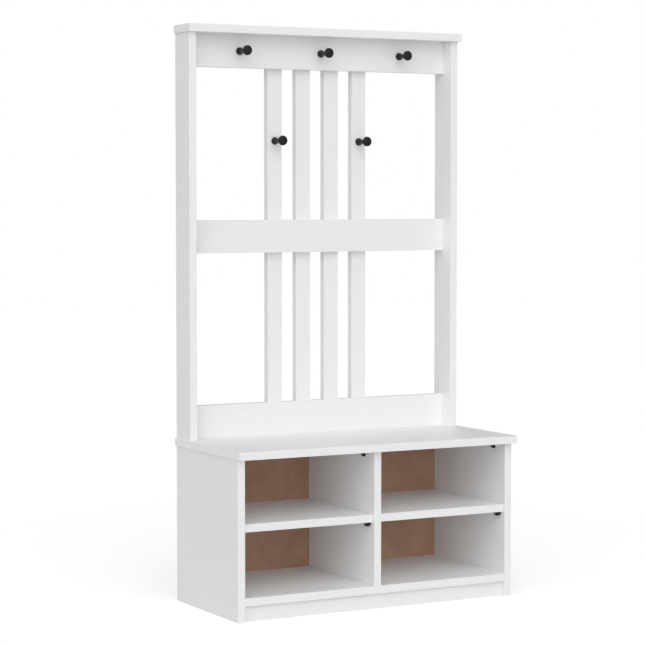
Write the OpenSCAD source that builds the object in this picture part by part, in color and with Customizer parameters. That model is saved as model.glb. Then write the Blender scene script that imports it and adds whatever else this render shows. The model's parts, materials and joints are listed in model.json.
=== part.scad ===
// Hall tree: a two-bay shoe bench with an open slatted coat frame and five peg hooks.
// The origin is on the floor, under the middle of the whole piece.
// +X is to the user's right, +Y goes back towards the wall and +Z is up. Units are millimetres.

/* [Overall] */
// Width across the outer faces of the two side panels
cabinet_w = 872; // [800:1:960]
// Depth of the side panels, from their front edge to the wall side
cabinet_d = 388; // [360:1:440]
// Height of the sitting surface above the floor
seat_h = 463; // [440:1:500]
// Height of the top of the cap board above the floor
total_h = 1620; // [1560:1:1760]
// Thickness of every melamine-faced board
board_t = 22; // [20:1:25]

/* [Bench top and cap] */
// How far the bench top stands out in front of the side panels
top_front_overhang = 22; // [10:1:30]
// How far the bench top and the cap board stand out past each side
top_side_overhang = 5; // [0:1:15]
// How far the cap board stands out in front of the posts
cap_front_overhang = 15; // [5:1:25]

/* [Cabinet] */
// Height of the plinth boards under the bottom panel
plinth_h = 44; // [40:1:80]
// How far the front plinth stands back from the front edges
plinth_setback = 12; // [5:1:20]
// Clear height of the lower pair of cubbies
lower_cubby_h = 177; // [140:1:190]
// How far the shelves stand back from the front edges
shelf_setback = 8; // [2:1:15]
// Gap left all round the shelves and the hardboard back
fit_gap = 0.5; // [0.3:0.1:1.5]
// Distance of the divider from the middle of the cabinet, to the right if positive
divider_offset = -4; // [-20:1:20]
// Thickness of the hardboard back
back_t = 3; // [3:0.5:4]
// Depth of the rear rebates that take the hardboard back
rebate_d = 4; // [4:0.5:6]
// Width of the rear rebates
rebate_w = 8; // [6:1:10]

/* [Coat frame] */
// Front-to-back depth of the posts
post_d = 91; // [85:1:110]
// Height of each of the three rails
rail_h = 93; // [80:1:110]
// Height of the underside of the middle rail above the floor
mid_rail_z = 984; // [850:1:1100]
// Width of each slat
slat_w = 46; // [36:1:56]
// Distance between the middles of neighbouring slats
slat_pitch = 91.6; // [84:0.1:100]
// Distance from each end of a slat to the boards above and below it
slat_end_gap = 12; // [2:1:20]
// Distance from the back of the slats to the wall side of the posts
slat_back_gap = 5; // [4:1:12]

/* [Hooks] */
// Diameter of the foot of a hook, where it meets the board
hook_foot_d = 21.5; // [20:0.5:24]
// Diameter of the narrow waist of a hook
hook_waist_d = 12.5; // [11:0.5:15]
// Diameter of the round head of a hook
hook_head_d = 28; // [25:0.5:34]
// How far a hook stands out from its board
hook_len = 56; // [50:1:65]
// Distance between the hooks on the top rail
hook_pitch = 260; // [200:1:270]
// Height of the two hooks on the outer slats above the floor
slat_hook_z = 1302; // [1200:1:1400]

/* [Fittings] */
// Length of each leg of a corner bracket
bracket_leg = 19; // [15:1:24]
// Width of a corner bracket, front to back
bracket_w = 18; // [16:1:24]
// Wall thickness of a corner bracket
bracket_t = 2.5; // [2:0.5:3]
// Radius of a half-round shelf support
support_r = 13.5; // [11:0.5:16]
// How far a shelf support stands out from its panel
support_t = 9; // [8:0.5:10]
// Distance between the two tip-restraint brackets behind the top rail
restraint_pitch = 680; // [600:1:700]
// Diameter of the strap hole in a tip-restraint bracket
restraint_hole_d = 6; // [5:0.5:8]

/* [Hidden] */
$fn = 48;
cut = 0.1;                    // overshoot of a cutting tool past the face that it opens
melamine = [0.93, 0.93, 0.93];
hardboard = [0.48, 0.37, 0.30];
black_paint = [0.10, 0.10, 0.10];
black_plastic = [0.07, 0.07, 0.07];
bright_zinc = [0.78, 0.78, 0.76];
beech = [0.82, 0.68, 0.50];
white_plastic = [0.95, 0.95, 0.95];

// Cabinet
front_y = (top_front_overhang - cabinet_d) / 2;
back_y = front_y + cabinet_d;
half_w = cabinet_w / 2;
inner_x = half_w - board_t;
back_face_y = back_y - rebate_d;
board_d = back_face_y - front_y;
top_w = cabinet_w + 2 * top_side_overhang;
under_seat_z = seat_h - board_t;
back_h = under_seat_z - plinth_h;
floor_board_z = plinth_h + board_t;
shelf_z = floor_board_z + lower_cubby_h;
divider_left = divider_offset - board_t / 2;
divider_right = divider_offset + board_t / 2;
shelf_d = board_d - shelf_setback - fit_gap;
front_plinth_y = front_y + plinth_setback;
rear_plinth_y = back_face_y - board_t;

// Coat frame
post_y = back_y - post_d;
slat_y = back_y - slat_back_gap - board_t;
rail_y = slat_y - board_t;
cap_z = total_h - board_t;
rail_zs = [seat_h, mid_rail_z, cap_z - rail_h];
rail_mid_y = rail_y + board_t / 2;
slat_xs = [for (i = [-1.5:1.5]) i * slat_pitch];
top_hook_z = cap_z - rail_h / 2;

// Cam fittings: a bolt in the upright runs along the board into a cam 24 mm from its end
cam_reach = 24;
cam_bore_d = 15;
cam_bore_depth = 13.5;
cam_d = 14.8;
cam_h = 12.5;
cam_pocket_w = 8.4;
bolt_bore_d = 8;
bolt_thread_d = 5;
bolt_thread_l = 11;
bolt_stem_d = 7;
bolt_stem_l = 18;
bolt_neck_d = 4.5;
bolt_neck_l = 3.5;
bolt_head_d = 6.8;
bolt_head_l = 2.5;
cam_from_edge = 60;

// Dowels
dowel_d = 8;
dowel_slack = 0.1;
dowel_in_upright = 12;
dowel_in_end = 18;
dowel_from_edge = 120;
top_dowel_ys = [front_y + 30, front_y + 230];
rail_dowel_dz = 30;
rail_dowel_x = 300;
plinth_cam_z = 15;
plinth_dowel_z = plinth_h - 10;

// Confirmat screws, each with its head sunk below a face
confirmat_l = 48;
confirmat_d = 7;
confirmat_head_d = 10;
confirmat_head_h = 3;
confirmat_sink = 2;
confirmat_slack = 0.2;
confirmat_hex = 4;
confirmat_hex_depth = 2.5;
post_screw_dys = [20, post_d - 20];

// Wood screws and nails
pilot_d = 3;
pilot_depth = 10;
pan_head_d = 7;
pan_head_h = 2.2;
recess_w = 1;
recess_depth = 1.2;
bracket_screw_from_corner = (bracket_t + bracket_leg) / 2;
bracket_setback = 50;
bracket_rear_y = back_face_y - bracket_setback - bracket_w;
bracket_front_y = front_y + bracket_setback;
support_inset = 32;
support_screw_drop = 5;
support_ys = [front_y + support_inset, back_face_y - support_inset];
slat_screw_l = 36;
slat_screw_d = 4;
slat_screw_head_d = 8;
slat_screw_head_h = 2.5;
hook_screw_d = 4;
hook_screw_l = 30;
hook_screw_head_d = 8;
hook_screw_head_h = 2.6;
hook_bore_depth = 12;
nail_d = 1.6;
nail_l = 16;
nail_head_d = 4.5;
nail_head_h = 0.8;
nail_from_edge = 30;
side_nail_x = inner_x + rebate_w / 2;

// Hook outline
hook_foot_l = 5;
hook_rim_round = 2.5;
hook_dome_h = 2;
hook_rim_start = hook_len - 7.5;
hook_rim_end = hook_len - hook_dome_h;

// Tip-restraint bracket: a steel angle with one leg on the rail and one towards the wall
restraint_t = 1.5;
restraint_w = 30;
restraint_leg = 22;
restraint_eye_from_rail = 14;
restraint_screw_dx = 9;
restraint_z = top_hook_z;

// Cam joints as [y, z, turn]. The turn points the cam's open face down, back or forwards
bottom_cams = [
    for (y = [front_y + cam_from_edge, back_face_y - cam_from_edge]) [y, plinth_h + board_t / 2, 0]
];
front_plinth_cam = [front_plinth_y + board_t / 2, plinth_cam_z, 90];
rear_plinth_cam = [rear_plinth_y + board_t / 2, plinth_cam_z, -90];
rail_cams = [for (z = rail_zs) [rail_mid_y, z + rail_h / 2, 90]];

// Dowel joints between a board's end and an upright, as [y, z]
bottom_dowels = [
    for (y = [front_y + dowel_from_edge, back_face_y - dowel_from_edge]) [y, plinth_h + board_t / 2]
];
front_plinth_dowel = [front_plinth_y + board_t / 2, plinth_dowel_z];
rear_plinth_dowel = [rear_plinth_y + board_t / 2, plinth_dowel_z];
function rail_dowels(z) = [for (s = [-1, 1]) [rail_mid_y, z + rail_h / 2 + s * rail_dowel_dz]];
all_rail_dowels = [for (z = rail_zs) each rail_dowels(z)];
cabinet_cams = concat(bottom_cams, [front_plinth_cam, rear_plinth_cam]);
cabinet_dowels = concat(bottom_dowels, [front_plinth_dowel, rear_plinth_dowel]);

// Upright dowels, as [x, y, height of the joint, length below it, length above it]
upright_xs = [-half_w + board_t / 2, divider_offset, half_w - board_t / 2];
seat_dowels = [
    for (x = upright_xs, y = top_dowel_ys) [x, y, under_seat_z, dowel_in_end, dowel_in_upright]
];
divider_dowels = [
    for (d = bottom_dowels) [divider_offset, d[0], floor_board_z, dowel_in_upright, dowel_in_end]
];
bottom_rail_dowels = [
    for (s = [-1, 1]) [s * rail_dowel_x, rail_mid_y, seat_h, dowel_in_upright, dowel_in_end]
];
cap_dowels = [
    for (s = [-1, 1]) [s * rail_dowel_x, rail_mid_y, cap_z, dowel_in_end, dowel_in_upright]
];

// Confirmat positions, as [x, y]
post_screws = [for (x = [-1, 1], dy = post_screw_dys) [x * (half_w - board_t / 2), post_y + dy]];
divider_screws = [for (c = bottom_cams) [divider_offset, c[0]]];

// Panel faces that carry fittings, as [x, direction away from the face]
fitting_faces = [[-inner_x, 1], [divider_left, -1], [divider_right, 1], [inner_x, -1]];

function side_nail_z(i) = plinth_h + nail_from_edge + i / 3 * (back_h - 2 * nail_from_edge);

// Nails through the back, as [x, z]
side_nails = [for (s = [-1, 1], i = [0:3]) [s * side_nail_x, side_nail_z(i)]];
bottom_nails = [for (x = [-330:132:330]) [x, plinth_h + board_t / 2]];
divider_nails = [for (i = [1:3]) [divider_offset, plinth_h + i / 4 * back_h]];

// Hooks as [x, z, y of the face that they stand on]
hooks = [
    [-hook_pitch, top_hook_z, rail_y],
    [0, top_hook_z, rail_y],
    [hook_pitch, top_hook_z, rail_y],
    [slat_xs[0], slat_hook_z, slat_y],
    [slat_xs[3], slat_hook_z, slat_y]
];

module board(x, y, z, w, d, h) {
    translate([x, y, z]) cube([w, d, h]);
}

module both_sides() {
    children();
    mirror([1, 0, 0]) children();
}

// Local frame of a joint on the right-hand upright: +X goes into the upright
module at_joint(joint) {
    translate([inner_x, joint[0], joint[1]])
        rotate([len(joint) > 2 ? joint[2] : 0, 0, 0]) children();
}

module rod_x(d, from, to) {
    translate([from, 0, 0]) rotate([0, 90, 0]) cylinder(d = d, h = to - from);
}

// Holes that cam fittings and dowels need in the right-hand upright
module upright_bores(cams, dowels) {
    for (c = cams) at_joint(c) rod_x(bolt_thread_d, -cut, bolt_thread_l);
    for (d = dowels) at_joint(d) rod_x(dowel_d, -cut, dowel_in_upright);
}

// Holes that cam fittings and dowels need in the two ends of a board
module end_bores(cams, dowels) {
    both_sides() {
        for (c = cams) at_joint(c) {
            rod_x(bolt_bore_d, -cam_reach, cut);
            translate([-cam_reach, 0, -board_t / 2 - cut])
                cylinder(d = cam_bore_d, h = cam_bore_depth + cut);
        }
        for (d = dowels) at_joint(d) rod_x(dowel_d, -dowel_in_end, cut);
    }
}

module upright_dowel_bores(list) {
    for (d = list)
        translate([d[0], d[1], d[2] - d[3]]) cylinder(d = dowel_d, h = d[3] + d[4]);
}

// Bore of a confirmat driven in +Z from z = 0
module confirmat_bore() {
    translate([0, 0, -cut])
        cylinder(d = confirmat_head_d, h = confirmat_sink + confirmat_head_h + cut);
    cylinder(d = confirmat_d, h = confirmat_sink + confirmat_l + 1);
}

module confirmats_up(list, z) {
    for (p = list) translate([p[0], p[1], z]) children();
}

module confirmats_down(list, z) {
    for (p = list) translate([p[0], p[1], z]) mirror([0, 0, 1]) children();
}

// Places a fitting in the two bays: +X away from the panel face, +Z up
module at_faces(ys, z) {
    for (f = fitting_faces, y = ys)
        translate([f[0], y, z]) mirror([f[1] < 0 ? 1 : 0, 0, 0]) children();
}

module at_brackets() {
    at_faces([bracket_front_y, bracket_rear_y], under_seat_z) children();
}

// Pilot holes that the fittings need in the side panels and the divider
module panel_pilots() {
    at_brackets() bracket_side_screw_at() rod_x(pilot_d, -pilot_depth, cut);
    at_faces(support_ys, shelf_z)
        translate([0, 0, -support_screw_drop]) rod_x(pilot_d, -pilot_depth, cut);
}

module bracket_side_screw_at() {
    translate([0, bracket_w / 2, -bracket_screw_from_corner]) children();
}

module bracket_top_screw_at() {
    translate([bracket_screw_from_corner, bracket_w / 2, 0]) rotate([0, 90, 0]) children();
}

module nail_bores(list) {
    for (n = list)
        translate([n[0], back_face_y - nail_l, n[1]])
            rotate([-90, 0, 0]) cylinder(d = nail_d, h = nail_l + rebate_d);
}

// ---- Cabinet ----

module side_panel() {
    difference() {
        board(inner_x, front_y, 0, board_t, cabinet_d, under_seat_z);
        board(inner_x - cut, back_face_y, plinth_h, rebate_w + cut, rebate_d + cut, under_seat_z);
        upright_bores(cabinet_cams, cabinet_dowels);
        upright_dowel_bores(seat_dowels);
        panel_pilots();
        nail_bores(side_nails);
    }
}

module left_side_panel() {
    color(melamine) mirror([1, 0, 0]) side_panel();
}

module right_side_panel() {
    color(melamine) side_panel();
}

module centre_divider() {
    color(melamine) difference() {
        board(divider_left, front_y, floor_board_z, board_t, board_d, under_seat_z - floor_board_z);
        upright_dowel_bores(concat(seat_dowels, divider_dowels));
        confirmats_up(divider_screws, plinth_h) confirmat_bore();
        panel_pilots();
        nail_bores(divider_nails);
    }
}

module bottom_panel() {
    color(melamine) difference() {
        board(-inner_x, front_y, plinth_h, 2 * inner_x, board_d, board_t);
        end_bores(bottom_cams, bottom_dowels);
        upright_dowel_bores(divider_dowels);
        confirmats_up(divider_screws, plinth_h) confirmat_bore();
        nail_bores(bottom_nails);
    }
}

module plinth(y, cam, dowel) {
    difference() {
        board(-inner_x, y, 0, 2 * inner_x, board_t, plinth_h);
        end_bores([cam], [dowel]);
    }
}

module front_plinth() {
    color(melamine) plinth(front_plinth_y, front_plinth_cam, front_plinth_dowel);
}

module rear_plinth() {
    color(melamine) plinth(rear_plinth_y, rear_plinth_cam, rear_plinth_dowel);
}

module shelf(from, to) {
    board(from + fit_gap, front_y + shelf_setback, shelf_z,
        to - from - 2 * fit_gap, shelf_d, board_t);
}

module left_shelf() {
    color(melamine) shelf(-inner_x, divider_left);
}

module right_shelf() {
    color(melamine) shelf(divider_right, inner_x);
}

module back_panel() {
    reach = inner_x + rebate_w - fit_gap;
    color(hardboard) difference() {
        board(-reach, back_face_y, plinth_h + fit_gap, 2 * reach, back_t, back_h - 2 * fit_gap);
        nail_bores(concat(side_nails, bottom_nails, divider_nails));
    }
}

module bench_top() {
    color(melamine) difference() {
        board(-top_w / 2, front_y - top_front_overhang, under_seat_z,
            top_w, cabinet_d + top_front_overhang, board_t);
        upright_dowel_bores(concat(seat_dowels, bottom_rail_dowels));
        confirmats_up(post_screws, under_seat_z) confirmat_bore();
        at_brackets() bracket_top_screw_at() rod_x(pilot_d, -pilot_depth, cut);
    }
}

// ---- Coat frame ----

module post() {
    difference() {
        board(inner_x, post_y, seat_h, board_t, post_d, cap_z - seat_h);
        upright_bores(rail_cams, all_rail_dowels);
        confirmats_up(post_screws, under_seat_z) confirmat_bore();
        confirmats_down(post_screws, total_h) confirmat_bore();
    }
}

module left_post() {
    color(melamine) mirror([1, 0, 0]) post();
}

module right_post() {
    color(melamine) post();
}

module rail(i) {
    difference() {
        board(-inner_x, rail_y, rail_zs[i], 2 * inner_x, board_t, rail_h);
        end_bores([rail_cams[i]], rail_dowels(rail_zs[i]));
        slat_screw_bores();
    }
}

module bottom_rail() {
    color(melamine) difference() {
        rail(0);
        upright_dowel_bores(bottom_rail_dowels);
    }
}

module mid_rail() {
    color(melamine) rail(1);
}

module top_rail() {
    color(melamine) difference() {
        rail(2);
        upright_dowel_bores(cap_dowels);
        hook_screw_bores();
        at_restraints() restraint_screws_at() rod_x(pilot_d, -pilot_depth, cut);
    }
}

module slat(i) {
    color(melamine) difference() {
        board(slat_xs[i - 1] - slat_w / 2, slat_y, seat_h + slat_end_gap,
            slat_w, board_t, cap_z - seat_h - 2 * slat_end_gap);
        slat_screw_bores();
        hook_screw_bores();
    }
}

module cap_board() {
    color(melamine) difference() {
        board(-top_w / 2, post_y - cap_front_overhang, cap_z,
            top_w, post_d + cap_front_overhang, board_t);
        upright_dowel_bores(cap_dowels);
        confirmats_down(post_screws, total_h) confirmat_bore();
    }
}

// ---- Hooks ----

// Distance from the foot's shoulder to the waist, for the one arc of least radius waist_r that
// rises by foot_step at the shoulder and by head_step at the head's rim, a span apart
function waist_at(span, foot_step, head_step) =
    let (
        grow = head_step - foot_step,
        half_b = foot_step * span,
        c = foot_step * (head_step * grow + span * span)
    ) (sqrt(half_b * half_b + grow * c) - half_b) / grow;

// Half outline of a peg hook: x is the radius and y the distance from the board
module hook_outline() {
    foot_r = hook_foot_d / 2;
    waist_r = hook_waist_d / 2;
    head_r = hook_head_d / 2;
    face_r = head_r - hook_rim_round;
    span = hook_rim_start - hook_foot_l;
    waist_from_foot = waist_at(span, foot_r - waist_r, head_r - waist_r);
    arc_r = (pow(foot_r - waist_r, 2) + pow(waist_from_foot, 2)) / (2 * (foot_r - waist_r));
    dome_r = (face_r * face_r + hook_dome_h * hook_dome_h) / (2 * hook_dome_h);
    difference() {
        union() {
            square([foot_r, hook_foot_l]);
            square([head_r, hook_rim_end - hook_rim_round]);
            square([face_r, hook_rim_end]);
            translate([face_r, hook_rim_end - hook_rim_round]) circle(r = hook_rim_round);
            intersection() {
                translate([0, hook_len - dome_r]) circle(r = dome_r, $fn = 96);
                translate([0, hook_rim_start]) square([face_r, hook_len - hook_rim_start]);
            }
        }
        translate([waist_r + arc_r, hook_foot_l + waist_from_foot]) circle(r = arc_r, $fn = 96);
        translate([foot_r, -cut]) square([head_r, hook_foot_l + cut]);
    }
}

module hook(i) {
    at = hooks[i - 1];
    color(black_paint)
        translate([at[0], at[2], at[1]]) rotate([90, 0, 0]) difference() {
            rotate_extrude() hook_outline();
            translate([0, 0, -cut]) cylinder(d = hook_screw_d, h = hook_bore_depth + cut);
        }
}

module hook_screw_bores() {
    for (h = hooks)
        translate([h[0], h[2] - cut, h[1]])
            rotate([-90, 0, 0]) cylinder(d = hook_screw_d, h = board_t + 2 * cut);
}

module hook_screws() {
    color(bright_zinc)
        for (h = hooks) translate([h[0], h[2] + board_t, h[1]]) rotate([90, 0, 0]) {
            cylinder(d = hook_screw_d - 0.1, h = hook_screw_l);
            translate([0, 0, -hook_screw_head_h]) difference() {
                cylinder(d = hook_screw_head_d, h = hook_screw_head_h);
                cross_recess(4.6, recess_w, recess_depth);
            }
        }
}

// ---- Fittings ----

// Cross recess cut upwards from z = 0
module cross_recess(span, width, depth) {
    for (a = [0, 90]) rotate([0, 0, a])
        translate([-span / 2, -width / 2, -cut]) cube([span, width, depth + cut]);
}

module shelf_supports() {
    color(black_plastic) at_faces(support_ys, shelf_z) difference() {
        rotate([90, 0, 90]) linear_extrude(support_t) intersection() {
            circle(r = support_r);
            translate([-support_r, -support_r]) square([2 * support_r, support_r]);
        }
        translate([0, 0, -support_screw_drop]) rod_x(slat_screw_d, -cut, support_t + cut);
    }
}

// Pan-head screw along -X with its head from x = 0 to x = pan_head_h
module pan_screw(shank_l) {
    rod_x(pilot_d - 0.1, -shank_l, 0);
    difference() {
        rod_x(pan_head_d, 0, pan_head_h);
        translate([pan_head_h, 0, 0]) rotate([0, -90, 0]) cross_recess(4, recess_w, recess_depth);
    }
}

module shelf_support_screws() {
    color(bright_zinc) at_faces(support_ys, shelf_z)
        translate([support_t, 0, -support_screw_drop]) pan_screw(support_t + pilot_depth - 1);
}

module corner_brackets() {
    web = [[0, 0], [bracket_leg, 0], [0, -bracket_leg]];
    color(black_plastic) at_brackets() difference() {
        union() {
            translate([0, 0, -bracket_t]) cube([bracket_leg, bracket_w, bracket_t]);
            translate([0, 0, -bracket_leg]) cube([bracket_t, bracket_w, bracket_leg]);
            for (y = [bracket_t, bracket_w])
                translate([0, y, 0]) rotate([90, 0, 0]) linear_extrude(bracket_t) polygon(web);
        }
        bracket_side_screw_at() rod_x(slat_screw_d, -cut, bracket_t + cut);
        bracket_top_screw_at() rod_x(slat_screw_d, -cut, bracket_t + cut);
    }
}

module corner_bracket_screws() {
    color(bright_zinc) at_brackets() {
        bracket_side_screw_at() translate([bracket_t, 0, 0]) pan_screw(bracket_t + pilot_depth - 1);
        bracket_top_screw_at() translate([bracket_t, 0, 0]) pan_screw(bracket_t + pilot_depth - 1);
    }
}

module at_all_cams() {
    both_sides() for (c = concat(cabinet_cams, rail_cams)) at_joint(c) children();
}

module cam_locks() {
    color(bright_zinc) at_all_cams()
        translate([-cam_reach, 0, -board_t / 2]) difference() {
            cylinder(d = cam_d, h = cam_h);
            translate([-bolt_head_d / 2, -cam_pocket_w / 2, (board_t - cam_pocket_w) / 2])
                cube([cam_d, cam_pocket_w, cam_h]);
            cross_recess(9, 1.6, 2.5);
        }
}

module cam_bolts() {
    neck_at = -bolt_stem_l - bolt_neck_l;
    color(bright_zinc) at_all_cams() {
        rod_x(bolt_thread_d - 0.1, 0, bolt_thread_l - 1);
        rod_x(bolt_stem_d, -bolt_stem_l, 0);
        rod_x(bolt_neck_d, neck_at, -bolt_stem_l);
        rod_x(bolt_head_d, neck_at - bolt_head_l, neck_at);
    }
}

module wood_dowels() {
    d = dowel_d - dowel_slack;
    color(beech) {
        both_sides() for (j = concat(cabinet_dowels, all_rail_dowels))
            at_joint(j) rod_x(d, -dowel_in_end + 1, dowel_in_upright - 1);
        for (j = concat(seat_dowels, divider_dowels, bottom_rail_dowels, cap_dowels))
            translate([j[0], j[1], j[2] - j[3] + 1]) cylinder(d = d, h = j[3] + j[4] - 2);
    }
}

// Confirmat driven in +Z, with its head sunk below z = 0
module confirmat() {
    translate([0, 0, confirmat_sink]) {
        difference() {
            cylinder(d = confirmat_head_d - confirmat_slack, h = confirmat_head_h);
            translate([0, 0, -cut])
                cylinder(d = confirmat_hex / cos(30), h = confirmat_hex_depth + cut, $fn = 6);
        }
        translate([0, 0, confirmat_head_h])
            cylinder(d = confirmat_d - confirmat_slack, h = confirmat_l - confirmat_head_h);
    }
}

module confirmat_screws() {
    color(bright_zinc) {
        confirmats_up(divider_screws, plinth_h) confirmat();
        confirmats_up(post_screws, under_seat_z) confirmat();
        confirmats_down(post_screws, total_h) confirmat();
    }
}

module screw_caps() {
    color(white_plastic) confirmats_down(post_screws, total_h)
        cylinder(d = confirmat_head_d - confirmat_slack, h = confirmat_sink);
}

// Countersunk screws through the slats from behind, along -Y
module at_slat_screws() {
    for (x = slat_xs, z = rail_zs)
        translate([x, slat_y + board_t, z + rail_h / 2]) rotate([90, 0, 0]) children();
}

module slat_screw_bores() {
    at_slat_screws() {
        translate([0, 0, -cut]) cylinder(d = slat_screw_d, h = slat_screw_l + 1);
        translate([0, 0, -cut]) cylinder(d = slat_screw_head_d, h = slat_screw_head_h + cut);
    }
}

module slat_screws() {
    color(bright_zinc) at_slat_screws() {
        cylinder(d = slat_screw_d - 0.2, h = slat_screw_l);
        difference() {
            cylinder(d = slat_screw_head_d - 0.2, h = slat_screw_head_h);
            cross_recess(4.6, recess_w, recess_depth);
        }
    }
}

module back_nails() {
    color(bright_zinc) for (n = concat(side_nails, bottom_nails, divider_nails))
        translate([n[0], back_face_y + back_t, n[1]]) rotate([90, 0, 0]) {
            translate([0, 0, -nail_head_h]) cylinder(d = nail_head_d, h = nail_head_h);
            cylinder(d = nail_d - 0.1, h = nail_l);
        }
}

// Local frame of a tip-restraint bracket: origin on the back of the top rail
module at_restraints() {
    for (s = [-1, 1])
        translate([s * restraint_pitch / 2, rail_y + board_t, restraint_z]) children();
}

// +X of a screw frame points out of the rail, towards the wall
module restraint_screws_at() {
    for (s = [-1, 1])
        translate([s * restraint_screw_dx, 0, restraint_leg / 2]) rotate([0, 0, 90]) children();
}

module tip_restraint_brackets() {
    color(bright_zinc) at_restraints() difference() {
        union() {
            translate([-restraint_w / 2, 0, 0]) cube([restraint_w, restraint_t, restraint_leg]);
            translate([-restraint_w / 2, 0, 0]) cube([restraint_w, restraint_leg, restraint_t]);
        }
        restraint_screws_at() rod_x(slat_screw_d, -cut, restraint_t + cut);
        translate([0, restraint_eye_from_rail, -cut])
            cylinder(d = restraint_hole_d, h = restraint_t + 2 * cut);
    }
}

module tip_restraint_screws() {
    color(bright_zinc) at_restraints() restraint_screws_at()
        translate([restraint_t, 0, 0]) pan_screw(restraint_t + pilot_depth - 1);
}

left_side_panel();
right_side_panel();
centre_divider();
bottom_panel();
front_plinth();
rear_plinth();
left_shelf();
right_shelf();
back_panel();
bench_top();
left_post();
right_post();
bottom_rail();
mid_rail();
top_rail();
slat(1);  // slat_1
slat(2);  // slat_2
slat(3);  // slat_3
slat(4);  // slat_4
cap_board();
hook(1);  // hook_1
hook(2);  // hook_2
hook(3);  // hook_3
hook(4);  // hook_4
hook(5);  // hook_5
hook_screws();
shelf_supports();
shelf_support_screws();
corner_brackets();
corner_bracket_screws();
cam_locks();
cam_bolts();
wood_dowels();
confirmat_screws();
screw_caps();
slat_screws();
back_nails();
tip_restraint_brackets();
tip_restraint_screws();
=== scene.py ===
"""The looks of a white hall tree with hooks: materials, rounded board edges, a studio and a camera."""
import json
import math

import bpy
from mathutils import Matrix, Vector

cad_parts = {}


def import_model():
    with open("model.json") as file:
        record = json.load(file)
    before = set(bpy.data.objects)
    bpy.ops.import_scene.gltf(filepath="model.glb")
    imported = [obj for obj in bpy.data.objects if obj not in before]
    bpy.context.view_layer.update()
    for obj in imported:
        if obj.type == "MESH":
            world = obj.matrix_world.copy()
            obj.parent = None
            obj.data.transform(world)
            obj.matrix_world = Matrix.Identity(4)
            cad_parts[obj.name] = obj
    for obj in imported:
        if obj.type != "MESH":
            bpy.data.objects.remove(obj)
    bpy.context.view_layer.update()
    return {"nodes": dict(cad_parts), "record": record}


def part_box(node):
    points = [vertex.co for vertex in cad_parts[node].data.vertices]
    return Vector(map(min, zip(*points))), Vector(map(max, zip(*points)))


MM = 0.001

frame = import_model()
nodes = frame["nodes"]
slot_of = {s["node"]: s["material_slot"] for s in frame["record"]["subparts"]}
boards = sorted(n for n in nodes if slot_of[n] == "melamine")


# ---------------------------------------------------------------- node helpers

NOISE_BAND = (0.3, 0.7)      # most of a noise texture's values lie between these two


def feed(tree, socket, value):
    """Links another socket to this one, or sets its value."""
    if isinstance(value, bpy.types.NodeSocket):
        tree.links.new(value, socket)
    else:
        socket.default_value = value


def operation_node(tree, node_type, operation, values):
    node = tree.nodes.new(node_type)
    node.operation = operation
    for socket, value in zip(node.inputs, values):
        feed(tree, socket, value)
    return node


def scalar(tree, operation, *values):
    return operation_node(tree, "ShaderNodeMath", operation, values).outputs[0]


def vector(tree, operation, *values):
    return operation_node(tree, "ShaderNodeVectorMath", operation, values).outputs[0]


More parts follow.
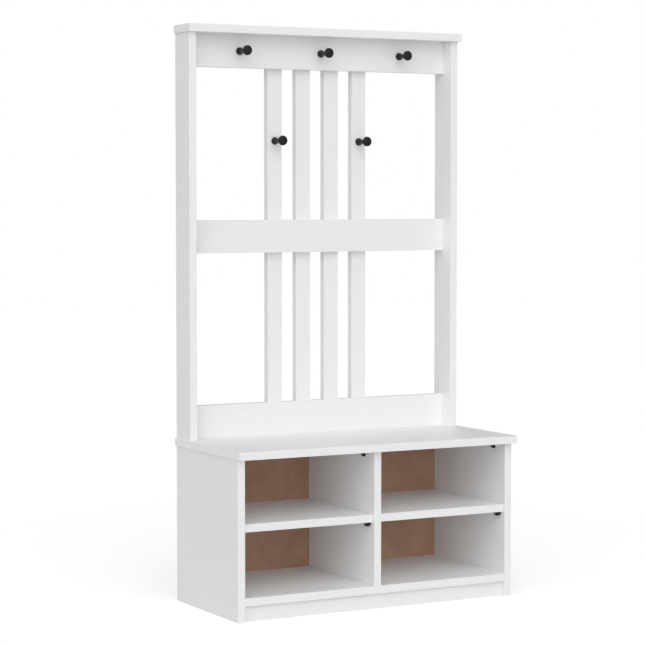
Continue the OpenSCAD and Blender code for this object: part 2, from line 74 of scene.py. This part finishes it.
class Graph:
    """A new material with one Principled shader, and short ways to add the nodes that feed it."""

    def __init__(self, name):
        self.material = bpy.data.materials.new(name)
        self.material.use_nodes = True
        self.tree = self.material.node_tree
        self.tree.nodes.clear()
        output = self.tree.nodes.new("ShaderNodeOutputMaterial")
        self.shader = self.tree.nodes.new("ShaderNodeBsdfPrincipled")
        self.tree.links.new(self.shader.outputs[0], output.inputs["Surface"])
        self.coord = self.tree.nodes.new("ShaderNodeTexCoord").outputs["Object"]

    def feed(self, socket, value):
        feed(self.tree, socket, value)

    def math(self, operation, *values):
        return scalar(self.tree, operation, *values)

    def vector(self, operation, *values):
        return vector(self.tree, operation, *values)

    def split(self, value):
        node = self.tree.nodes.new("ShaderNodeSeparateXYZ")
        self.feed(node.inputs[0], value)
        return list(node.outputs)

    def mapped(self, scale=(1, 1, 1), shift=(0, 0, 0)):
        node = self.tree.nodes.new("ShaderNodeMapping")
        self.feed(node.inputs["Vector"], self.coord)
        node.inputs["Scale"].default_value = scale
        node.inputs["Location"].default_value = shift
        return node.outputs[0]

    def noise(self, per_metre, detail=2.0, roughness=0.5, warp=0.0, at=None):
        node = self.tree.nodes.new("ShaderNodeTexNoise")
        self.feed(node.inputs["Vector"], self.coord if at is None else at)
        node.inputs["Scale"].default_value = per_metre
        node.inputs["Detail"].default_value = detail
        node.inputs["Roughness"].default_value = roughness
        node.inputs["Distortion"].default_value = warp
        return node.outputs["Fac"]

    def cells(self, per_metre, at):
        """Voronoi cells, each with its own random colour."""
        node = self.tree.nodes.new("ShaderNodeTexVoronoi")
        self.feed(node.inputs["Vector"], at)
        node.inputs["Scale"].default_value = per_metre
        return node.outputs["Color"]

    def ramp(self, value, *stops):
        node = self.tree.nodes.new("ShaderNodeValToRGB")
        self.feed(node.inputs[0], value)
        elements = node.color_ramp.elements
        while len(elements) < len(stops):
            elements.new(1.0)
        for element, (place, colour) in zip(elements, stops):
            element.position = place
            element.color = (*colour, 1.0)
        return node.outputs[0]

    def span(self, value, from_low, from_high, to_low, to_high):
        node = self.tree.nodes.new("ShaderNodeMapRange")
        for socket, v in zip(node.inputs, (value, from_low, from_high, to_low, to_high)):
            self.feed(socket, v)
        return node.outputs[0]

    def vary(self, noise, low=0.0, high=1.0):
        """A number that follows a noise between low and high."""
        return self.span(noise, *NOISE_BAND, low, high)

    def peaks(self, noise, start, full, most):
        """0 where a noise is under start, rising to most where it is over full."""
        return self.span(noise, start, full, 0.0, most)

    def mix(self, factor, a, b):
        """The colour a where factor is 0, and b where it is 1."""
        node = self.tree.nodes.new("ShaderNodeMix")
        node.data_type = "RGBA"
        self.feed(node.inputs[0], factor)
        for socket, value in ((node.inputs[6], a), (node.inputs[7], b)):
            self.feed(socket, (*value, 1.0) if isinstance(value, tuple) else value)
        return node.outputs[2]

    def pick(self, factor, a, b):
        """The number a where factor is 0, and b where it is 1."""
        node = self.tree.nodes.new("ShaderNodeMix")
        self.feed(node.inputs[0], factor)
        self.feed(node.inputs[2], a)
        self.feed(node.inputs[3], b)
        return node.outputs[0]

    def bump(self, height, distance, strength, under=None):
        node = self.tree.nodes.new("ShaderNodeBump")
        node.inputs["Strength"].default_value = strength
        node.inputs["Distance"].default_value = distance
        self.feed(node.inputs["Height"], height)
        if under is not None:
            self.feed(node.inputs["Normal"], under)
        return node.outputs[0]

    def finish(self, colour, roughness, normal=None, **fixed):
        """Feeds the shader, sets the inputs that are the same all over, and returns the material."""
        self.feed(self.shader.inputs["Base Color"], colour)
        self.feed(self.shader.inputs["Roughness"], roughness)
        if normal is not None:
            self.feed(self.shader.inputs["Normal"], normal)
        for name, value in fixed.items():
            self.shader.inputs[name.replace("_", " ")].default_value = value
        return self.material


# ---------------------------------------------------------------- melamine-faced chipboard

WHITE = (0.945, 0.946, 0.948)
WHITE_LOW = (0.932, 0.933, 0.934)
FACE_ROUGHNESS = (0.33, 0.47)
GRAIN_SHARE = 0.3            # the coarse grain's share of a face's relief, the rest being pebbles
BAND_WHITE = (0.952, 0.953, 0.955)
BAND_ROUGHNESS = 0.32
BAND = 1.0 * MM              # thickness of the edge band, so also the place of its seam
BAND_SKIN = 0.2 * MM         # depth under an edge's surface that still looks like the band
SEAM = (0.70, 0.70, 0.69)
SEAM_W = 0.22 * MM
SEAM_STRENGTH = 0.5
SKIN = 0.5 * MM              # raw chips show deeper than this under a board's outer faces
CHIP_TONES = ((0.0, (0.30, 0.19, 0.11)), (0.5, (0.44, 0.30, 0.18)), (1.0, (0.55, 0.39, 0.24)))
CHIP_ROUGHNESS = 0.85
CHIP_LIFT = 12.0             # how many times as high as the pebbles the raw chips stand
SEED_STEPS = (0.37, 0.21, 0.53)    # how far the pattern moves from one board to the next


def melamine(node, seed):
    """White pebbled faces, smoother edge bands with a seam, and raw chips in the cut-outs."""
    g = Graph("melamine_" + node)
    low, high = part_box(node)
    centre, half = (low + high) / 2, (high - low) / 2
    thin = min(range(3), key=lambda axis: half[axis])

    # How far a point is past the board's faces and edges, which is negative inside the board
    from_centre = g.vector("ABSOLUTE", g.vector("SUBTRACT", g.coord, centre))
    past = g.split(g.vector("SUBTRACT", from_centre, half))
    past_edge = g.math("MAXIMUM", *(past[axis] for axis in range(3) if axis != thin))
    past_skin = g.math("MAXIMUM", past_edge, past[thin])
    raw = g.math("LESS_THAN", past_skin, -SKIN)
    on_edge = g.math("GREATER_THAN", past_edge, -BAND_SKIN)
    seam = g.math("COMPARE", past_edge, -BAND, SEAM_W / 2)

    shift = tuple(seed * step for step in SEED_STEPS)
    moved = g.mapped(shift=shift)
    cloud = g.noise(per_metre=5.0, detail=3.0, roughness=0.55, at=moved)
    colour = g.mix(g.vary(cloud), WHITE_LOW, WHITE)
    colour = g.mix(on_edge, colour, BAND_WHITE)
    colour = g.mix(g.math("MULTIPLY", seam, SEAM_STRENGTH), colour, SEAM)
    chips = g.split(g.cells(per_metre=420.0, at=g.mapped(scale=(1, 1, 2.4), shift=shift)))
    colour = g.mix(raw, colour, g.ramp(chips[0], *CHIP_TONES))

    pebble = g.noise(per_metre=1500.0, roughness=0.6, at=moved)
    grain = g.noise(per_metre=260.0, detail=3.0, roughness=0.6, at=moved)
    rough = g.pick(on_edge, g.vary(grain, *FACE_ROUGHNESS), BAND_ROUGHNESS)
    rough = g.pick(raw, rough, CHIP_ROUGHNESS)
    height = g.pick(on_edge, g.pick(GRAIN_SHARE, pebble, grain), grain)
    height = g.pick(raw, height, g.math("MULTIPLY", chips[1], CHIP_LIFT))
    return g.finish(colour, rough, g.bump(height, distance=0.05 * MM, strength=0.85))


# ---------------------------------------------------------------- hardboard

HARDBOARD_TONES = (
    (0.32, (0.430, 0.242, 0.153)),
    (0.50, (0.538, 0.319, 0.210)),
    (0.68, (0.632, 0.399, 0.273)),
)
HARDBOARD_SPECK = (0.20, 0.11, 0.07)
FIBRE_SHARE = 0.45           # the fibres' share of the tone, the rest being broad clouds
FIBRE_LIFT = 0.7
FIBRE_ROUGHNESS = (0.48, 0.60)
SCREEN_PITCH = 1.9 * MM      # of the wire screen that leaves its print on the rear face
SCREEN_LIFT = 1.6
SCREEN_ROUGHNESS = 0.80
REAR_FROM = 1.0 * MM         # how far behind the sheet's middle the rear face is taken to begin


def hardboard():
    """Brown hardboard: pressed fibres on both faces, and a screen's print on the one to the wall."""
    g = Graph("hardboard")
    low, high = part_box("back_panel")
    flat = g.mapped(scale=(1, 0.2, 1))
    along = g.mapped(scale=(0.35, 0.2, 1))
    clouds = g.noise(per_metre=9.0, detail=5.0, roughness=0.62, warp=0.4, at=flat)
    fibres = g.noise(per_metre=240.0, detail=4.0, roughness=0.7, warp=1.6, at=along)
    specks = g.noise(per_metre=900.0, roughness=0.7, at=flat)
    broad = g.math("MULTIPLY", clouds, 1 - FIBRE_SHARE)
    tone = g.math("ADD", broad, g.math("MULTIPLY", fibres, FIBRE_SHARE))
    colour = g.ramp(tone, *HARDBOARD_TONES)
    colour = g.mix(g.peaks(specks, start=0.60, full=0.72, most=0.35), colour, HARDBOARD_SPECK)

    x, y, z = g.split(g.coord)
    rear = g.math("GREATER_THAN", y, (low.y + high.y) / 2 + REAR_FROM)
    waves = [g.math("SINE", g.math("MULTIPLY", way, 2 * math.pi / SCREEN_PITCH)) for way in (x, z)]
    screen = g.math("MULTIPLY", g.math("MULTIPLY", *waves), rear)
    relief = g.math("MULTIPLY", fibres, FIBRE_LIFT)
    height = g.math("ADD", relief, g.math("MULTIPLY", screen, SCREEN_LIFT))
    rough = g.pick(rear, g.vary(fibres, *FIBRE_ROUGHNESS), SCREEN_ROUGHNESS)
    normal = g.bump(height, distance=0.10 * MM, strength=0.6)
    return g.finish(colour, rough, normal, Specular_IOR_Level=0.35)


# ---------------------------------------------------------------- hooks and fittings

METAL_BLACKS = (0.0150, 0.0146, 0.0148), (0.0215, 0.0208, 0.0210)
PLASTIC_BLACKS = (0.006, 0.006, 0.0063), (0.011, 0.011, 0.0113)
CAP_WHITES = (0.79, 0.79, 0.785), (0.83, 0.83, 0.825)
ZINC_TONES = ((0.35, (0.58, 0.58, 0.56)), (0.55, (0.66, 0.66, 0.65)), (0.72, (0.62, 0.60, 0.52)))
BEECH_TONES = ((0.3, (0.52, 0.35, 0.20)), (0.7, (0.66, 0.48, 0.30)))
BEECH_FLECK = (0.36, 0.21, 0.11)


def black_metal():
    """Satin black powder coat on a turned peg."""
    g = Graph("black_metal")
    peel = g.noise(per_metre=900.0)
    fine = g.noise(per_metre=4200.0, roughness=0.6)
    colour = g.mix(g.vary(g.noise(per_metre=60.0, detail=3.0)), *METAL_BLACKS)
    coat = g.bump(peel, distance=0.06 * MM, strength=0.5)
    normal = g.bump(fine, distance=0.01 * MM, strength=0.5, under=coat)
    return g.finish(colour, g.vary(fine, 0.34, 0.44), normal, Specular_IOR_Level=0.20)


def black_plastic():
    """Black moulded plastic with a spark-eroded grain."""
    g = Graph("black_plastic")
    grain = g.noise(per_metre=3000.0, detail=3.0, roughness=0.65)
    flow = g.noise(per_metre=120.0, detail=3.0, roughness=0.6, warp=1.2)
    colour = g.mix(g.vary(flow), *PLASTIC_BLACKS)
    normal = g.bump(grain, distance=0.03 * MM, strength=0.7)
    return g.finish(colour, g.vary(grain, 0.40, 0.55), normal, Specular_IOR_Level=0.35)


def zinc():
    """Bright zinc plate, faintly yellow in places."""
    g = Graph("zinc")
    patches = g.noise(per_metre=160.0, detail=3.0, roughness=0.6, warp=0.6)
    fine = g.noise(per_metre=3500.0, roughness=0.6)
    colour = g.ramp(patches, *ZINC_TONES)
    normal = g.bump(fine, distance=0.02 * MM, strength=0.5)
    return g.finish(colour, g.vary(patches, 0.24, 0.38), normal, Metallic=1.0)


def beech():
    """Beech dowel: short flecks along the grain."""
    g = Graph("beech")
    along = g.mapped(scale=(0.12, 1, 1))
    grain = g.noise(per_metre=700.0, detail=3.0, roughness=0.6, warp=0.5, at=along)
    flecks = g.noise(per_metre=1800.0, detail=1.0, at=g.mapped(scale=(0.2, 1, 1)))
    colour = g.ramp(grain, *BEECH_TONES)
    colour = g.mix(g.peaks(flecks, start=0.62, full=0.72, most=0.5), colour, BEECH_FLECK)
    normal = g.bump(grain, distance=0.05 * MM, strength=0.6)
    return g.finish(colour, g.vary(grain, 0.55, 0.7), normal)


def white_plastic():
    """White moulded screw caps."""
    g = Graph("white_plastic")
    grain = g.noise(per_metre=2600.0, roughness=0.6)
    colour = g.mix(g.vary(g.noise(per_metre=90.0)), *CAP_WHITES)
    normal = g.bump(grain, distance=0.02 * MM, strength=0.5)
    return g.finish(colour, g.vary(grain, 0.40, 0.50), normal)


# Each maker is named for its slot. Every board has a melamine of its own, which needs the board's box
makers = (hardboard, black_metal, black_plastic, zinc, beech, white_plastic)
shared = {maker.__name__: maker() for maker in makers}
for name, node in nodes.items():
    look = shared.get(slot_of[name]) or melamine(name, boards.index(name) + 1)
    node.data.materials.clear()
    node.data.materials.append(look)


# ---------------------------------------------------------------- rounded edges

WELD = 0.01 * MM
SHARP_ANGLE = math.radians(30)
ON_BOX = 0.02 * MM           # an edge is on a side of the board's box when it is this near to it
BOARD_ROUND = 0.7 * MM
BOARD_ROUND_STEPS = 3


def outer_edge_tree():
    """Welds the tessellated faces, marks sharp edges, and gives a bevel weight to the board's box edges."""
    tree = bpy.data.node_groups.new("outer_edges", "GeometryNodeTree")
    for way in ("INPUT", "OUTPUT"):
        tree.interface.new_socket(name="Geometry", in_out=way, socket_type="NodeSocketGeometry")
    new, link = tree.nodes.new, tree.links.new

    weld = new("GeometryNodeMergeByDistance")
    weld.inputs["Distance"].default_value = WELD
    plain = new("GeometryNodeRemoveAttribute")
    plain.inputs["Name"].default_value = "custom_normal"
    link(new("NodeGroupInput").outputs[0], weld.inputs["Geometry"])
    link(weld.outputs[0], plain.inputs["Geometry"])

    # The edge's middle, the box's centre and its half size are all doubled here, to save halving them
    box = new("GeometryNodeBoundBox")
    link(plain.outputs[0], box.inputs["Geometry"])
    ends = new("GeometryNodeInputMeshEdgeVertices")
    middle = vector(tree, "ADD", ends.outputs["Position 1"], ends.outputs["Position 2"])
    centre = vector(tree, "ADD", box.outputs["Min"], box.outputs["Max"])
    half = vector(tree, "SUBTRACT", box.outputs["Max"], box.outputs["Min"])
    away = vector(tree, "ABSOLUTE", vector(tree, "SUBTRACT", middle, centre))
    inside = new("ShaderNodeSeparateXYZ")
    link(vector(tree, "SUBTRACT", half, away), inside.inputs[0])
    on_side = [scalar(tree, "LESS_THAN", gap, 2 * ON_BOX) for gap in inside.outputs]
    sides = scalar(tree, "ADD", scalar(tree, "ADD", on_side[0], on_side[1]), on_side[2])
    on_two_sides = scalar(tree, "GREATER_THAN", sides, 1.5)
    angle = new("GeometryNodeInputMeshEdgeAngle").outputs["Unsigned Angle"]
    sharp = scalar(tree, "GREATER_THAN", angle, SHARP_ANGLE)
    weight = scalar(tree, "MULTIPLY", on_two_sides, sharp)

    faces = new("GeometryNodeSetShadeSmooth")
    link(plain.outputs[0], faces.inputs["Geometry"])
    edges = new("GeometryNodeSetShadeSmooth")
    edges.domain = "EDGE"
    edges.inputs["Shade Smooth"].default_value = False
    link(faces.outputs[0], edges.inputs["Geometry"])
    link(sharp, edges.inputs["Selection"])
    store = new("GeometryNodeStoreNamedAttribute")
    store.data_type = "FLOAT"
    store.domain = "EDGE"
    store.inputs["Name"].default_value = "bevel_weight_edge"
    link(edges.outputs[0], store.inputs["Geometry"])
    link(weight, store.inputs["Value"])
    link(store.outputs[0], new("NodeGroupOutput").inputs[0])
    return tree


outer_edges = outer_edge_tree()
for name in boards + ["back_panel"]:
    nodes[name].modifiers.new("outer_edges", "NODES").node_group = outer_edges
for name in boards:
    rounding = nodes[name].modifiers.new("rounding", "BEVEL")
    rounding.limit_method = "WEIGHT"
    rounding.width = BOARD_ROUND
    rounding.segments = BOARD_ROUND_STEPS
    rounding.use_clamp_overlap = False
    rounding.harden_normals = True


# ---------------------------------------------------------------- floor

FLOOR_SIZE = 30.0
FLOOR_TONES = (0.80, 0.80, 0.80), (0.82, 0.82, 0.82)
FLOOR_ROUGHNESS = 0.9
FLOOR_GLOW = 0.456


def floor():
    """A pale floor. Only the camera sees its glow, which makes it look nearly white and lights nothing."""
    mesh = bpy.data.meshes.new("studio_floor")
    r = FLOOR_SIZE / 2
    mesh.from_pydata([(-r, -r, 0), (r, -r, 0), (r, r, 0), (-r, r, 0)], [], [(0, 1, 2, 3)])
    piece = bpy.data.objects.new("studio_floor", mesh)
    bpy.context.scene.collection.objects.link(piece)
    g = Graph("studio_floor")
    colour = g.mix(g.noise(per_metre=1.2), *FLOOR_TONES)
    mesh.materials.append(g.finish(colour, FLOOR_ROUGHNESS, Emission_Color=(1, 1, 1, 1)))
    seen = g.tree.nodes.new("ShaderNodeLightPath").outputs["Is Camera Ray"]
    g.feed(g.shader.inputs["Emission Strength"], g.math("MULTIPLY", seen, FLOOR_GLOW))


# ---------------------------------------------------------------- light

WORLD_SEEN = 1.0
WORLD_BASE = 0.395
# Each lobe has the direction that its light comes from, the power that narrows it, and its strength
WORLD_LOBES = (
    ((-0.60, -0.70, 0.38), 4, 1.10),
    ((-0.40, -0.60, 0.70), 8, 0.69),
    ((0.0, -0.85, 0.45), 16, 0.90),
)


def world():
    """A white studio: even light and soft lobes from the front and left, and a plain background."""
    sky = bpy.data.worlds.new("studio")
    bpy.context.scene.world = sky
    sky.use_nodes = True
    tree = sky.node_tree
    tree.nodes.clear()
    new, link = tree.nodes.new, tree.links.new

    way = new("ShaderNodeTexCoord").outputs["Generated"]
    total = WORLD_BASE
    for towards, power, strength in WORLD_LOBES:
        direction = Vector(towards).normalized()
        dot = operation_node(tree, "ShaderNodeVectorMath", "DOT_PRODUCT", (way, direction))
        facing = scalar(tree, "MAXIMUM", dot.outputs["Value"], 0.0)
        lobe = scalar(tree, "MULTIPLY", scalar(tree, "POWER", facing, power), strength)
        total = scalar(tree, "ADD", lobe, total)

    light, seen = new("ShaderNodeBackground"), new("ShaderNodeBackground")
    for background, strength in ((light, total), (seen, WORLD_SEEN)):
        background.inputs["Color"].default_value = (1, 1, 1, 1)
        feed(tree, background.inputs["Strength"], strength)
    mix = new("ShaderNodeMixShader")
    link(new("ShaderNodeLightPath").outputs["Is Camera Ray"], mix.inputs[0])
    link(light.outputs[0], mix.inputs[1])
    link(seen.outputs[0], mix.inputs[2])
    link(mix.outputs[0], new("ShaderNodeOutputWorld").inputs["Surface"])


# ---------------------------------------------------------------- camera

CAMERA_AT = (-3.04329, -5.45505, 1.14969)
CAMERA_YAW = 28.522          # degrees to the right of +Y
CAMERA_PITCH = 3.316         # degrees below level
CAMERA_LENS = 123.537        # mm, on a sensor of the width below
CAMERA_SENSOR = 36.0
CAMERA_CLIP = (0.1, 100.0)


def camera():
    data = bpy.data.cameras.new("camera")
    data.sensor_width = CAMERA_SENSOR
    data.lens = CAMERA_LENS
    data.clip_start, data.clip_end = CAMERA_CLIP
    piece = bpy.data.objects.new("camera", data)
    piece.location = CAMERA_AT
    piece.rotation_euler = (math.radians(90 - CAMERA_PITCH), 0, math.radians(-CAMERA_YAW))
    bpy.context.scene.collection.objects.link(piece)
    bpy.context.scene.camera = piece


floor()
world()
camera()
bpy.context.scene.view_settings.view_transform = "Standard"
